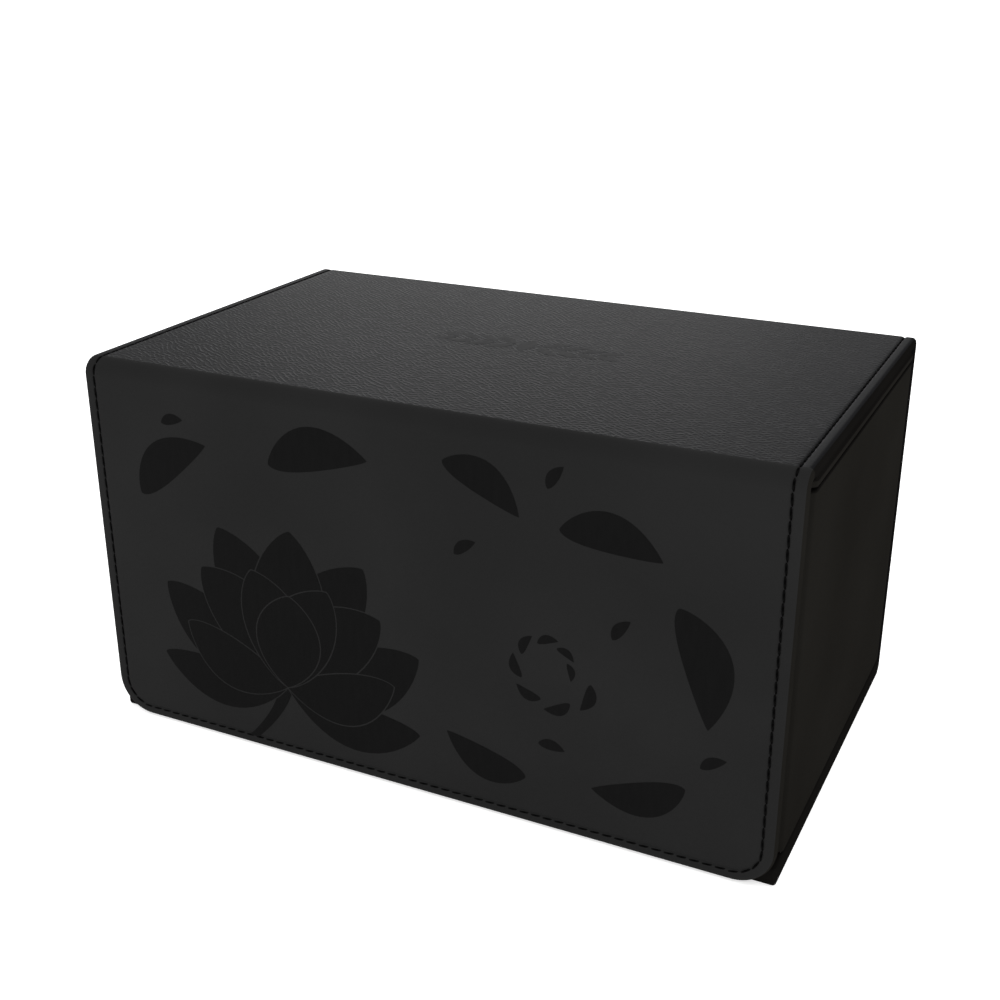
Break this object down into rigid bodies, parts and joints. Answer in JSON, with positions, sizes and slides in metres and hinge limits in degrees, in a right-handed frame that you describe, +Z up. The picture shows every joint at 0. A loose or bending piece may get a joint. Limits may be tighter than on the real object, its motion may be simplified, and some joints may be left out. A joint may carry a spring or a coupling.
{
  "type": "card deck box",
  "caption": "Leatherette box for upright decks of cards: hinged lid with a magnetic front flap, board inner box and two sliding dividers.",
  "frame": {"origin": "middle of the underside, on the surface the box stands on", "axes": "+X to the right along the long side, -Y towards the front flap, +Z up"},
  "size_m": [0.205, 0.1256, 0.112],
  "materials": {
    "leatherette": "black leatherette with a fine cross grain",
    "flap_leatherette": "smoother black leatherette with a darker printed flower and petals",
    "greyboard": "grey compressed board",
    "steel": "plain steel",
    "magnet": "nickel plated",
    "thread": "black sewing thread",
    "microfibre": "dark short-nap microfibre"
  },
  "bodies": {
    "box": {"back_cover": "leatherette", "back_board": "greyboard", "base_cover": "leatherette", "base_board": "greyboard", "base_liner": "leatherette", "bottom_fold": "leatherette", "body_wrap": "leatherette", "rim_binding": "leatherette", "wall_lining": "microfibre", "floor_board": "greyboard", "floor_lining": "microfibre", "left_wall_board": "greyboard", "front_left_corner_board": "greyboard", "front_wall_board": "greyboard", "front_right_corner_board": "greyboard", "right_wall_board": "greyboard", "rear_wall_board": "greyboard", "keeper_left": "steel", "keeper_right": "steel"},
    "lid": {"lid_cover": "leatherette", "lid_board": "greyboard", "lid_insert_wrap": "leatherette", "lid_insert_board": "greyboard", "lid_lining": "microfibre", "lid_thread_left": "thread", "lid_thread_right": "thread", "rear_fold": "leatherette"},
    "flap": {"flap_cover": "flap_leatherette", "flap_board": "greyboard", "flap_lining": "microfibre", "flap_magnet_left": "magnet", "flap_magnet_right": "magnet", "flap_thread": "thread", "front_fold": "leatherette"},
    "divider_left": {"divider_left_cover": "microfibre", "divider_left_board": "greyboard"},
    "divider_right": {"divider_right_cover": "microfibre", "divider_right_board": "greyboard"}
  },
  "joints": [
    {"name": "lid_hinge", "type": "hinge", "parent": "box", "child": "lid", "pos_m": [0, 0.0615, 0.1105], "axis": [-1, 0, 0], "range_deg": [0, 180], "deforming": ["rear_fold"]},
    {"name": "flap_hinge", "type": "hinge", "parent": "lid", "child": "flap", "pos_m": [0, -0.06079, 0.10999], "axis": [-1, 0, 0], "range_deg": [0, 180], "deforming": ["front_fold"]},
    {"name": "divider_left_slide", "type": "slide", "parent": "box", "child": "divider_left", "axis": [1, 0, 0], "range_m": [-0.066, 0.071]},
    {"name": "divider_right_slide", "type": "slide", "parent": "box", "child": "divider_right", "axis": [1, 0, 0], "range_m": [-0.071, 0.043]}
  ]
}
